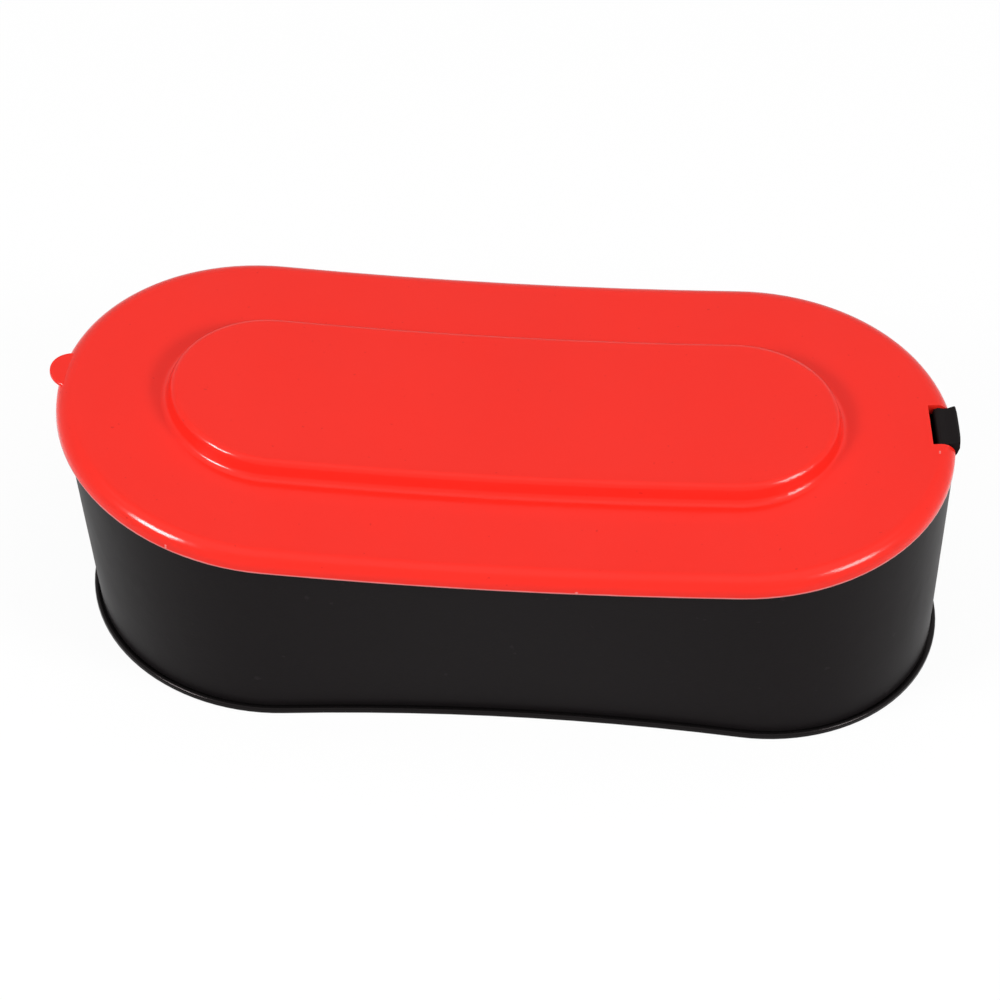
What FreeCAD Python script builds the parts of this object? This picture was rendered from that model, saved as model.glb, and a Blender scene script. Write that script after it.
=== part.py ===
import FreeCAD, Part
import math
import os

V = FreeCAD.Vector

# Driving dimensions in millimetres, foot at z = 0, long way along x
sheet = 0.8
beyond = 20.0

# Lid: round ends, raised panel, and a gentle bend that lifts both ends
bent_length = 101.8
right_reach = 1.1
lid_radius = 48.0
lid_top = 54.3
bend_angle = 3.0
lid_depth = 4.6
shoulder_radius = 3.4
panel_radius = 25.4
panel_shift = 0.7
panel_margin = 0.5
panel_rise = 4.3
step_radius = 1.5
step_angle = 74.0

# Pull tab on the left end of the lid
tab_turn = 8.0
tab_radius = 5.6
tab_reach = 2.6
tab_thick = 1.0
tab_drop = 0.7
tab_edge = 0.3

# Mouth of the wall under the lid, its edge curled inwards
skirt_gap = 0.75
seat_gap = 0.08
curl_radius = 0.9
curl_inset = 0.95

# Ledge under the lid where the wall steps out to its full width
ledge_gap = 0.5
ledge_side = 0.6
ledge_right = 1.5
ledge_left = 0.3

# Foot of the wall: drawn in along the sides, raked at the tab end, upright at the hinge end
foot_radius = 39.8
foot_left = -89.1
foot_right = 100.1
foot_waist = 2.7

# Rolled rim round the foot and the plate that sits in it
rim_height = 1.6
rim_proud = 1.3
rim_inside = 1.4
rim_ledge = 2.4
rim_edge = 0.55
groove_width = 0.45
groove_depth = 0.7
plate_under = 0.5
plate_gap = 0.05
emboss_inset = 9.0
emboss_rise = 0.7

# Hinge at the right end, a little to the back of the middle as the tab is
hinge_turn = 3.8
pin_radius = 0.45
pin_inset = 1.1
pin_rise = 0.9
pin_play = 0.05
ear_play = 0.02
notch_width = 12.5
notch_depth = 5.5
ear_thick = 0.8
clip_gap = 0.5
clip_lip = 0.9
clip_knuckle = 4.4
clip_leaf = 3.8
clip_length = 16.0
gate_gap = 1.1
gate_drop = 0.3

half = bent_length / 2
lid_edge = lid_top - lid_depth
brow = lid_radius - shoulder_radius
bend_centre = lid_top + half / math.sin(math.radians(bend_angle))


def oblong(radius, waist, z, left, right):
    """Closed outline with round ends that reach left and right, and sides drawn in by waist."""
    c0, c1 = left + radius, right - radius
    mid, span = (c0 + c1) / 2, (c1 - c0) / 2
    tx, ty = span, radius
    if waist > 0:
        hip = radius - waist
        side = (span ** 2 + hip ** 2 - radius ** 2) / (2 * waist)
        k = radius / (radius + side)
        tx, ty = span - span * k, k * (hip + side)
    a, b = V(mid + tx, -ty, z), V(mid + tx, ty, z)
    c, d = V(mid - tx, ty, z), V(mid - tx, -ty, z)
    end_right = Part.Arc(a, V(right, 0, z), b).toShape()
    end_left = Part.Arc(c, V(left, 0, z), d).toShape()
    if waist > 0:
        back = Part.Arc(b, V(mid, hip, z), c).toShape()
        front = Part.Arc(d, V(mid, -hip, z), a).toShape()
    else:
        back, front = Part.makeLine(b, c), Part.makeLine(d, a)
    return Part.Wire([end_right, back, end_left, front])


def foot_line(offset, z):
    return oblong(foot_radius + offset, foot_waist, z, foot_left - offset, foot_right + offset)


def slab(offset, z0, z1):
    """Solid plate whose edge is the foot outline moved outwards by offset."""
    return Part.Face(foot_line(offset, z0)).extrude(V(0, 0, z1 - z0))


def bend(r, z, radius, a0, a1):
    """Arc in the section plane, angles in degrees."""
    spots = []
    for a in (a0, (a0 + a1) / 2, a1):
        t = math.radians(a)
        spots.append(V(0, r + radius * math.cos(t), z + radius * math.sin(t)))
    return Part.Arc(spots[0], spots[1], spots[2]).toShape()


def section(pieces):
    """Face in the section plane from arcs and corner points, joined by lines."""
    ends = []
    for p in pieces:
        if isinstance(p, tuple):
            spot = V(0, p[0], p[1])
            ends.append((spot, spot))
        else:
            ends.append((p.valueAt(p.FirstParameter), p.valueAt(p.LastParameter)))
    edges = []
    for i, p in enumerate(pieces):
        if not isinstance(p, tuple):
            edges.append(p)
        here, there = ends[i][1], ends[(i + 1) % len(pieces)][0]
        if here.distanceToPoint(there) > 1e-6:
            edges.append(Part.makeLine(here, there))
    return Part.Face(Part.Wire(edges))


def to_end(shape, side, reach=0.0):
    """Carry a shape from the middle of the lid to its right end (1) or left end (-1)."""
    moved = shape.copy()
    moved.translate(V(side * reach, 0, 0))
    moved.rotate(V(0, 0, bend_centre), V(0, 1, 0), -side * bend_angle)
    return moved


def half_turn(face, side):
    """Round end made by a section that turns about the upright axis."""
    return face.revolve(V(0, 0, 0), V(0, 0, -side), 180)


def other_side(shape):
    return shape.mirror(V(0, 0, 0), V(0, 1, 0))


def sweep(face, reach):
    """Carry a section along both bent sides, on by reach at the right, and round both ends."""
    back = to_end(face, -1).revolve(V(0, 0, bend_centre), V(0, -1, 0), 2 * bend_angle)
    runs = [other_side(back), to_end(half_turn(face, -1), -1), to_end(half_turn(face, 1), 1, reach)]
    if reach > 0:
        straight = to_end(face.extrude(V(reach, 0, 0)), 1)
        runs += [straight, other_side(straight)]
    return back.multiFuse(runs).removeSplitter()


def block(x0, x1, half_y, z0, z1):
    return Part.makeBox(x1 - x0, 2 * half_y, z1 - z0, V(x0, -half_y, z0))


def rod(x, z, radius, half_y):
    return Part.makeCylinder(radius, 2 * half_y, V(x, -half_y, z), V(0, 1, 0))


def plate_xz(points, y0, y1):
    """Flat plate standing in the XZ plane."""
    loop = [V(x, y0, z) for x, z in points]
    loop.append(loop[0])
    return Part.Face(Part.makePolygon(loop)).extrude(V(0, y1 - y0, 0))


def one_solid(shape):
    shape = shape.removeSplitter()
    return shape.Solids[0] if len(shape.Solids) == 1 else shape


# Lid: one pressing with the raised panel, the turned-down edge, the tab and the hinge ears
lean = math.radians(step_angle)
panel_top = lid_top + panel_rise
slope = (panel_rise - 2 * step_radius * (1 - math.cos(lean))) / math.sin(lean)
step_run = 2 * step_radius * math.sin(lean) + slope * math.cos(lean)
flat_radius = panel_radius - step_run


def lid_line(depth):
    """Line of the lid without its panel, from the middle outwards, at a depth below the skin."""
    return [
        (0, lid_top - depth),
        bend(brow, lid_top - shoulder_radius, shoulder_radius - depth, 90, 0),
        (lid_radius - depth, lid_edge),
    ]


def panel_line(depth):
    """Line of the raised panel and the step down to the flat of the lid."""
    return [
        (0, panel_top - depth),
        bend(flat_radius, panel_top - step_radius, step_radius - depth, 90, 90 - step_angle),
        bend(panel_radius, lid_top + step_radius, step_radius + depth, 270 - step_angle, 270),
        (panel_radius + panel_margin, lid_top - depth),
    ]


def backwards(line):
    turned = []
    for p in reversed(line):
        if isinstance(p, tuple):
            turned.append(p)
        else:
            mid = (p.FirstParameter + p.LastParameter) / 2
            ends = [p.valueAt(t) for t in (p.LastParameter, mid, p.FirstParameter)]
            turned.append(Part.Arc(ends[0], ends[1], ends[2]).toShape())
    return turned


lid = sweep(section(lid_line(0) + backwards(lid_line(sheet))), right_reach)
panel = sweep(section(panel_line(0) + backwards(panel_line(sheet))), 0)
panel_foot = panel_radius + panel_margin
room = sweep(section([(0, panel_top), (panel_foot, panel_top), (panel_foot, lid_edge), (0, lid_edge)]), 0)
panel.translate(V(0, panel_shift, 0))
room.translate(V(0, panel_shift, 0))
lid = lid.cut(room).fuse(panel).removeSplitter()
end_envelope = half_turn(section(lid_line(0) + [(0, lid_edge)]), 1)

tab_centre = lid_radius + tab_reach - tab_radius
tab_top = lid_top - tab_drop
tab = Part.makeCylinder(tab_radius, tab_thick, V(-tab_centre, 0, tab_top - tab_thick))
tab = tab.makeFillet(tab_edge, [e for e in tab.Edges if len(e.Vertexes) == 1])
tab = tab.cut(half_turn(section(lid_line(sheet / 2) + [(0, lid_edge)]), -1))
tab.rotate(V(0, 0, 0), V(0, 0, 1), -tab_turn)
lid = lid.fuse(to_end(tab, -1))


def at_hinge(shape):
    """Carry a shape made on the x axis round to the hinge at the right end."""
    moved = shape.copy()
    moved.rotate(V(0, 0, 0), V(0, 0, 1), hinge_turn)
    return to_end(moved, 1, right_reach)


pin_x = lid_radius - pin_inset
pin_z = lid_edge + pin_rise
notch_half = notch_width / 2
notch_x = lid_radius - notch_depth
notch = block(notch_x, lid_radius + beyond, notch_half, lid_edge - beyond, panel_top + beyond)
lid = lid.cut(at_hinge(notch))
ear_top = lid_top - sheet / 2
ear_line = [(notch_x, ear_top), (notch_x, pin_z + 2 * pin_rise), (pin_x - pin_inset, lid_edge),
            (lid_radius, lid_edge), (lid_radius, ear_top)]
for y0 in (notch_half, -notch_half - ear_thick):
    ear = plate_xz(ear_line, y0, y0 + ear_thick).common(end_envelope)
    lid = lid.fuse(at_hinge(ear))
pin_half = notch_half + ear_thick
ear_hole = rod(pin_x, pin_z, pin_radius + ear_play, pin_half + ear_play)
lid = one_solid(lid.cut(at_hinge(ear_hole)))
pin = at_hinge(rod(pin_x, pin_z, pin_radius, pin_half))

# Wall: a drawn band with a ledge, a neck and a curled mouth under the lid, and a gate for the hinge
mouth_radius = lid_radius - sheet - skirt_gap
curl_at = mouth_radius - curl_inset
curl_room = shoulder_radius - sheet - curl_radius - seat_gap
mouth_z = lid_top - shoulder_radius + math.sqrt(curl_room ** 2 - (curl_at - brow) ** 2)


def right_point(x, z):
    return to_end(Part.Vertex(x, 0, z), 1, right_reach).Point


def left_point(x, z):
    return to_end(Part.Vertex(-x, 0, z), -1).Point


def along(low, high, z_low, z_high, z):
    return low + (high - low) * (z - z_low) / (z_high - z_low)


tip_right = right_point(mouth_radius, mouth_z)
tip_left = left_point(mouth_radius, mouth_z)
above = tip_right.z + shoulder_radius


def drawn(offset, out_side, out_right, out_left):
    """Solid inside the wall's skin moved by offset, with its upper end moved out by the rest."""
    radius = along(foot_radius, mouth_radius + out_side, rim_height, mouth_z, above) + offset
    right = along(foot_right, tip_right.x + out_right, rim_height, tip_right.z, above) + offset
    left = along(foot_left, tip_left.x - out_left, rim_height, tip_left.z, above) - offset
    top = oblong(radius, 0, above, left, right)
    return Part.makeLoft([foot_line(offset, rim_height), top], True, True)


def layer(z0, z1):
    """Everything between two heights that follow the bend of the lid."""
    wide = lid_radius + beyond
    return sweep(section([(0, z1), (wide, z1), (wide, z0), (0, z0)]), right_reach)


ledge = lid_edge - ledge_gap
below = ledge - 2 * sheet
full = (ledge_side, ledge_right, ledge_left)
neck = drawn(0, 0, 0, 0).common(layer(below, mouth_z))
neck_room = drawn(-sheet, 0, 0, 0).common(layer(below, lid_top + beyond))
body = drawn(0, *full).common(layer(-beyond, ledge))
body_room = drawn(-sheet, *full).common(layer(-beyond, ledge - sheet))
inside = body_room.fuse(neck_room)
curl = sweep(section([bend(curl_at, mouth_z, curl_radius, 0, 180),
                      bend(curl_at, mouth_z, curl_radius, 180, 360)]), right_reach)
wall = body.fuse(neck).cut(inside).fuse(curl)
gate_floor = lid_edge - gate_drop
gate_half = pin_half + gate_gap
gate = block(brow - shoulder_radius, lid_radius + beyond, gate_half, gate_floor, panel_top + beyond)
wall = one_solid(wall.cut(at_hinge(gate)))

# Foot: a rolled rim with a groove against the wall and a ledge for the plate
rim = slab(rim_proud, 0, rim_height)
rim = rim.makeFillet(rim_edge, [e for e in rim.Edges if e.BoundBox.ZLength < 1e-6])
groove_floor = rim_height - groove_depth
groove = slab(groove_width, groove_floor, rim_height + sheet)
groove = groove.cut(slab(0, groove_floor - sheet, rim_height + beyond))
rim = rim.cut(groove)
rim = rim.cut(slab(-rim_inside, plate_under, rim_height + sheet))
rim = one_solid(rim.cut(slab(-rim_ledge, -sheet, rim_height + sheet)))

plate_top = plate_under + sheet
plate = slab(-rim_inside - plate_gap, plate_under, plate_top)
plate = plate.fuse(slab(-emboss_inset, plate_top, plate_top + emboss_rise))
plate = plate.cut(slab(-emboss_inset - sheet, plate_under - sheet, plate_under + emboss_rise))
plate = one_solid(plate)

# Hinge clip: a leaf inside the wall and a knuckle that fills the notch of the lid
clip_half = notch_half - clip_gap
leaf_x = lid_radius - clip_leaf
leaf = block(leaf_x, lid_radius + beyond, clip_half, gate_floor - clip_length, gate_floor)
leaf = at_hinge(leaf).common(inside)
nose_x = lid_radius - clip_knuckle
lip_x = lid_radius + clip_lip
low = lid_edge + pin_rise
knuckle_line = [(leaf_x, gate_floor), (pin_x - clip_gap, gate_floor), (pin_x + clip_gap, lid_edge),
                (lid_radius, low), (lip_x, lid_top - clip_lip), (lip_x - 0.15, lid_top - 0.3),
                (lip_x - 0.6, lid_top), (lip_x - 1.2, lid_top - 0.2), (pin_x, lid_top - 0.55),
                (pin_x - 0.9, lid_top - 0.6), (pin_x - 1.7, lid_top - 0.45),
                (nose_x + 1.0, lid_top - 0.4), (nose_x + 0.4, lid_top - 0.7),
                (nose_x, lid_top - 1.3), (nose_x, low + 0.8), (leaf_x, low - 0.3)]
knuckle = plate_xz(knuckle_line, -clip_half, clip_half)
knuckle = knuckle.common(Part.makeCylinder(lip_x, panel_top + beyond))
knuckle = knuckle.cut(rod(pin_x, pin_z, pin_radius + pin_play, notch_half))
clip = one_solid(leaf.fuse(at_hinge(knuckle)))

pieces = {"lid_shell": lid, "hinge_pin": pin, "body_wall": wall, "bottom_rim": rim,
          "base_plate": plate, "hinge_clip": clip}
tab_out = tab_centre * math.cos(math.radians(tab_turn)) + tab_radius - tab_edge
tab_tip = left_point(tab_out, tab_top - tab_thick + tab_edge)
shift = -(tab_tip.x - tab_edge + foot_right + rim_proud) / 2
hinge_line = at_hinge(Part.makeLine(V(pin_x, 0, pin_z), V(pin_x, 1, pin_z)))
ends = [v.Point for v in hinge_line.Vertexes]
axis = ends[1] - ends[0]
print("shift", round(shift, 4), "hinge at", round(ends[0].x + shift, 4), round(ends[0].y, 4),
      round(ends[0].z, 4), "axis", round(axis.x, 6), round(axis.y, 6), round(axis.z, 6))
os.makedirs("parts", exist_ok=True)
for name, shape in pieces.items():
    shape = shape.copy()
    shape.translate(V(shift, 0, 0))
    print(name, len(shape.Solids), shape.isValid(), round(shape.Volume, 1))
    shape.exportStep("parts/" + name + ".step")
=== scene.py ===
import math

import bpy
from mathutils import Matrix, Vector

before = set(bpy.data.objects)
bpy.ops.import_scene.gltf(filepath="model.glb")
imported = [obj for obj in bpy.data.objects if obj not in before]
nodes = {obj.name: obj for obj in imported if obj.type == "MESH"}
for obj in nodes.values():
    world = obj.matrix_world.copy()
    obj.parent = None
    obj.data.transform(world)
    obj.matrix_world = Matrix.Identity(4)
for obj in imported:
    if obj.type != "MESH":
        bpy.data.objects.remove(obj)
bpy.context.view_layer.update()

MM = 0.001

# The lid's bent frame, in millimetres, as in the solid model
SHIFT = -0.1665
HALF = 50.9
LID_TOP = 54.3
LID_DEPTH = 4.6
LID_EDGE = LID_TOP - LID_DEPTH
BEND = math.radians(3.0)
BEND_CENTRE = LID_TOP + HALF / math.sin(BEND)

# The pale line of the lid's cut edge, in millimetres above it, and where the pull tab interrupts it
WORN_FULL, WORN_NONE = 0.20, 0.48
WORN_RAGGED = 0.35
TAB_BARE, TAB_ROOT = -0.0992, -0.0982

# Nicks in the lid's paint, each a place and a radius in metres
LID_NICKS = [
    # front left shoulder
    ((-0.07227, -0.04311, 0.05324), 0.00034),
    ((-0.07226, -0.04313, 0.05270), 0.00034),
    # front edge
    ((0.01674, -0.04800, 0.05030), 0.00045),
    ((0.07620, -0.04080, 0.05270), 0.00055),
    # beside the notch
    ((0.09595, -0.00570, 0.05800), 0.00028),
    ((0.09594, -0.00615, 0.05800), 0.00028),
]
NICK_CORE = 0.4

# Floor and room: FLOOR_WHITE is the share of plain white in what is seen of the floor, whose rest
# takes the box's shadow, and FLOOR_BOUNCE and ROOM_GREY are what lights the box from around it
FLOOR_SIZE = 8.0
FLOOR_LEVEL = -0.0002
FLOOR_WHITE = 0.93
FLOOR_BOUNCE = 0.7
ROOM_GREY = 0.35


def rgba(r, g, b):
    return (r, g, b, 1.0)


def grey(value):
    return rgba(value, value, value)


WHITE = grey(1.0)


class Tree:
    """Builds the nodes of a material or of the world one call at a time."""

    def __init__(self, owner, output):
        owner.use_nodes = True
        self.owner = owner
        self.tree = owner.node_tree
        self.tree.nodes.clear()
        self.out = self.add(output)

    def add(self, kind, **values):
        node = self.tree.nodes.new(kind)
        for key, value in values.items():
            setattr(node, key, value)
        return node

    def link(self, source, target):
        self.tree.links.new(source, target)

    def feed(self, socket, value):
        if isinstance(value, bpy.types.NodeSocket):
            self.link(value, socket)
        else:
            socket.default_value = value

    def math(self, operation, a, b=0.0):
        node = self.add("ShaderNodeMath", operation=operation)
        self.feed(node.inputs[0], a)
        self.feed(node.inputs[1], b)
        return node.outputs[0]

    def mix(self, factor, a, b):
        node = self.add("ShaderNodeMix", data_type="RGBA")
        self.feed(node.inputs["Factor"], factor)
        self.feed(node.inputs["A"], a)
        self.feed(node.inputs["B"], b)
        return node.outputs["Result"]

    def background_rays(self):
        """One for rays that see the background: from the camera, off gloss or through glass."""
        path = self.add("ShaderNodeLightPath")
        seen = path.outputs["Is Camera Ray"]
        for kind in ("Is Glossy Ray", "Is Transmission Ray"):
            seen = self.math("MAXIMUM", seen, path.outputs[kind])
        return seen

    def coloured(self, kind, colour):
        node = self.add(kind)
        self.feed(node.inputs["Color"], colour)
        return node.outputs[0]

    def blend(self, factor, plain, white):
        """Ends the tree with a blend from the plain shader to the white one."""
        node = self.add("ShaderNodeMixShader")
        self.link(factor, node.inputs[0])
        self.link(plain, node.inputs[1])
        self.link(white, node.inputs[2])
        self.link(node.outputs[0], self.out.inputs["Surface"])


class Coat(Tree):
    """A piece's material, with colour, gloss and bump placed on the piece itself."""

    def __init__(self, name):
        super().__init__(bpy.data.materials.new(name), "ShaderNodeOutputMaterial")
        self.shader = self.add("ShaderNodeBsdfPrincipled")
        self.link(self.shader.outputs["BSDF"], self.out.inputs["Surface"])
        self.place = self.add("ShaderNodeTexCoord").outputs["Object"]

    def set(self, **values):
        for key, value in values.items():
            self.feed(self.shader.inputs[key.replace("_", " ")], value)

    def noise(self, scale, detail=3.0, stretch=None):
        """Noise whose grains are about 1 / scale metres across."""
        place = self.place
        if stretch:
            node = self.add("ShaderNodeMapping")
            node.inputs["Scale"].default_value = stretch
            self.link(place, node.inputs["Vector"])
            place = node.outputs["Vector"]
        node = self.add("ShaderNodeTexNoise")
        self.link(place, node.inputs["Vector"])
        node.inputs["Scale"].default_value = scale
        node.inputs["Detail"].default_value = detail
        return node.outputs[0]

    def span(self, value, low, high, to_low, to_high):
        """Carries low..high over to to_low..to_high, and stops at both ends."""
        node = self.add("ShaderNodeMapRange", clamp=True)
        self.feed(node.inputs["Value"], value)
        node.inputs["From Min"].default_value = low
        node.inputs["From Max"].default_value = high
        node.inputs["To Min"].default_value = to_low
        node.inputs["To Max"].default_value = to_high
        return node.outputs["Result"]

    def gloss(self, cloud, low, high):
        """Roughness from low to high over the middle of a noise."""
        return self.span(cloud, 0.3, 0.7, low, high)

    def spot(self, centre, far, near):
        """One within near of the centre, fading to nothing at far from it."""
        node = self.add("ShaderNodeVectorMath", operation="DISTANCE")
        self.link(self.place, node.inputs[0])
        node.inputs[1].default_value = centre
        return self.span(node.outputs["Value"], near, far, 1.0, 0.0)

    def bump(self, height, distance, strength, before=None):
        node = self.add("ShaderNodeBump")
        node.inputs["Strength"].default_value = strength
        node.inputs["Distance"].default_value = distance
        self.link(height, node.inputs["Height"])
        if before:
            self.link(before, node.inputs["Normal"])
        return node.outputs["Normal"]


def lid_height(t, split):
    """Height in the lid before it was bent, so that the edge can be followed round it."""
    x = t.math("ABSOLUTE", t.math("SUBTRACT", split.outputs["X"], SHIFT * MM))
    drop = t.math("SUBTRACT", BEND_CENTRE * MM, split.outputs["Z"])
    squares = t.math("ADD", t.math("MULTIPLY", x, x), t.math("MULTIPLY", drop, drop))
    turn = t.math("SUBTRACT", t.math("ARCTAN2", x, drop), BEND)
    flat = t.math("COSINE", t.math("MAXIMUM", turn, 0.0))
    reach = t.math("MULTIPLY", t.math("SQRT", squares), flat)
    return t.math("SUBTRACT", BEND_CENTRE * MM, reach)


def red_enamel():
    """Glossy red enamel over the lid, worn to a pale line along the cut edge."""
    t = Coat("red_enamel")
    split = t.add("ShaderNodeSeparateXYZ")
    t.link(t.place, split.inputs["Vector"])
    ragged = t.math("MULTIPLY", t.math("SUBTRACT", t.noise(140.0), 0.5), WORN_RAGGED * MM)
    level = t.math("ADD", lid_height(t, split), ragged)
    edge = t.span(level, (LID_EDGE + WORN_FULL) * MM, (LID_EDGE + WORN_NONE) * MM, 1.0, 0.0)
    edge = t.math("MULTIPLY", edge, t.span(split.outputs["X"], TAB_BARE, TAB_ROOT, 0.0, 1.0))
    paint = t.mix(t.noise(28.0, 4.0), rgba(0.82, 0.020, 0.011), rgba(0.88, 0.023, 0.013))
    specks = t.span(t.noise(900.0, 1.0), 0.765, 0.79, 0.0, 0.45)
    paint = t.mix(specks, paint, rgba(0.55, 0.008, 0.008))
    colour = t.mix(edge, paint, rgba(0.68, 0.20, 0.19))
    for place, radius in LID_NICKS:
        nick = t.spot(place, radius, NICK_CORE * radius)
        colour = t.mix(nick, colour, rgba(0.78, 0.22, 0.20))
    peel = t.bump(t.noise(420.0, 2.0), 0.00004, 0.5)
    dents = t.bump(t.noise(30.0, 2.0), 0.0005, 0.25, peel)
    t.set(Base_Color=colour, Roughness=t.gloss(t.noise(60.0, 5.0), 0.13, 0.21), Normal=dents)
    t.set(Specular_IOR_Level=0.18)
    return t.owner


def black_enamel(name, colour, low, high, grain, depth, sheen):
    """Black stoved enamel: fine grain, cloudy sheen and a few rubbed spots."""
    t = Coat(name)
    cloud = t.noise(22.0, 4.0)
    lighter = tuple(1.25 * c for c in colour)
    worn = tuple(2.5 * c for c in colour)
    paint = t.mix(cloud, rgba(*colour), rgba(*lighter))
    rubbed = t.span(t.noise(320.0, 2.0), 0.72, 0.76, 0.0, 0.5)
    paint = t.mix(rubbed, paint, rgba(*worn))
    fine = t.bump(t.noise(grain, 2.0), depth, 0.5)
    waves = t.bump(t.noise(24.0, 2.0), 0.0006, 0.15, fine)
    t.set(Base_Color=paint, Roughness=t.gloss(cloud, low, high), Normal=waves)
    t.set(Specular_IOR_Level=sheen, Specular_Tint=rgba(1.0, 0.88, 0.89))
    return t.owner


def drawn_steel():
    """Pin wire with fine lines along its length."""
    t = Coat("drawn_steel")
    lines = t.noise(1500.0, 2.0, stretch=(1.0, 0.02, 1.0))
    colour = t.mix(lines, rgba(0.42, 0.42, 0.43), rgba(0.6, 0.6, 0.61))
    t.set(Base_Color=colour, Metallic=1.0)
    t.set(Roughness=t.gloss(lines, 0.25, 0.45), Normal=t.bump(lines, 0.00003, 0.4))
    return t.owner


def dress(name, material):
    piece = nodes[name]
    piece.data.materials.clear()
    piece.data.materials.append(material)


wall_black = black_enamel("wall_black", colour=(0.0085, 0.0072, 0.0076), low=0.34, high=0.44,
                          grain=1500.0, depth=0.00003, sheen=0.032)
rim_black = black_enamel("rim_black", colour=(0.0050, 0.0044, 0.0045), low=0.14, high=0.20,
                         grain=500.0, depth=0.000006, sheen=0.11)
clip_black = black_enamel("clip_black", colour=(0.0056, 0.0044, 0.0046), low=0.50, high=0.62,
                          grain=2600.0, depth=0.00006, sheen=0.06)
dress("lid_shell", red_enamel())
dress("body_wall", wall_black)
dress("base_plate", wall_black)
dress("bottom_rim", rim_black)
dress("hinge_clip", clip_black)
dress("hinge_pin", drawn_steel())


def floor_white():
    """As white in the box's gloss as it is to the eye, with a faint shadow under the box."""
    t = Tree(bpy.data.materials.new("floor_white"), "ShaderNodeOutputMaterial")
    seen = t.background_rays()
    colour = t.mix(seen, grey(FLOOR_BOUNCE), WHITE)
    t.blend(t.math("MULTIPLY", seen, FLOOR_WHITE),
            t.coloured("ShaderNodeBsdfDiffuse", colour),
            t.coloured("ShaderNodeEmission", WHITE))
    return t.owner


bpy.ops.mesh.primitive_plane_add(size=FLOOR_SIZE, location=(0, 0, FLOOR_LEVEL))
floor = bpy.context.object
floor.name = "floor"
floor.data.materials.append(floor_white())

# The room is as white as the floor, and lights the box as a soft grey one
world = bpy.data.worlds.new("studio")
bpy.context.scene.world = world
room = Tree(world, "ShaderNodeOutputWorld")
room.blend(room.background_rays(),
           room.coloured("ShaderNodeBackground", grey(ROOM_GREY)),
           room.coloured("ShaderNodeBackground", WHITE))


def softbox(name, place, aim, wide, high, power, lights=True):
    """Rectangular lamp turned to its aim; one that doesn't light only shows in the gloss."""
    light = bpy.data.lights.new(name, "AREA")
    light.shape = "RECTANGLE"
    light.size, light.size_y, light.energy = wide, high, power
    lamp = bpy.data.objects.new(name, light)
    lamp.location = place
    lamp.visible_diffuse = lights
    lamp.rotation_mode = "QUATERNION"
    lamp.rotation_quaternion = (Vector(aim) - Vector(place)).to_track_quat("-Z", "Y")
    bpy.context.scene.collection.objects.link(lamp)


LEFT, LEFT_AIM = (-0.805, -0.564, 0.688), (-0.03, 0, 0.05)
RIGHT, RIGHT_AIM = (0.851, -0.492, 0.688), (0.03, 0, 0.05)
softbox("left_front", LEFT, LEFT_AIM, wide=0.38, high=0.27, power=6.8)
softbox("right_front", RIGHT, RIGHT_AIM, wide=0.38, high=0.27, power=6.8)
softbox("left_glint", LEFT, LEFT_AIM, wide=0.38, high=0.36, power=24.0, lights=False)
softbox("right_glint", RIGHT, RIGHT_AIM, wide=0.38, high=0.40, power=12.0, lights=False)
softbox("overhead", (0.0, -0.16, 1.05), (0, 0, 0.05), wide=1.8, high=0.95, power=3.4)

# Camera fitted to the photograph's outlines: the focal length and the aim are in pixels of the
# frame, and the distance is in millimetres
FRAME = 1000.0
AZIMUTH, ELEVATION, ROLL = (math.radians(a) for a in (-1.627, 44.311, 4.214))
FOCAL = 5539.1
DISTANCE = 1263.35
AIM_U, AIM_V = -8.41, 94.52
back = Vector((math.sin(AZIMUTH) * math.cos(ELEVATION),
               -math.cos(AZIMUTH) * math.cos(ELEVATION),
               math.sin(ELEVATION)))
level = Vector((math.cos(AZIMUTH), math.sin(AZIMUTH), 0.0))
upward = back.cross(level)
right = level * math.cos(ROLL) + upward * math.sin(ROLL)
down = level * math.sin(ROLL) - upward * math.cos(ROLL)
pixel = DISTANCE / FOCAL
offset = right * (AIM_U * pixel) + down * (AIM_V * pixel) - back * DISTANCE
eye = (Vector((SHIFT, 0.0, 0.0)) - offset) * MM
data = bpy.data.cameras.new("camera")
data.sensor_width = 36.0
data.lens = FOCAL * data.sensor_width / FRAME
data.clip_start, data.clip_end = 0.05, 50.0
camera = bpy.data.objects.new("camera", data)
axes = Matrix((right, -down, back)).transposed().to_4x4()
camera.matrix_world = Matrix.Translation(eye) @ axes
bpy.context.scene.collection.objects.link(camera)
bpy.context.scene.camera = camera
bpy.context.scene.view_settings.view_transform = "Standard"
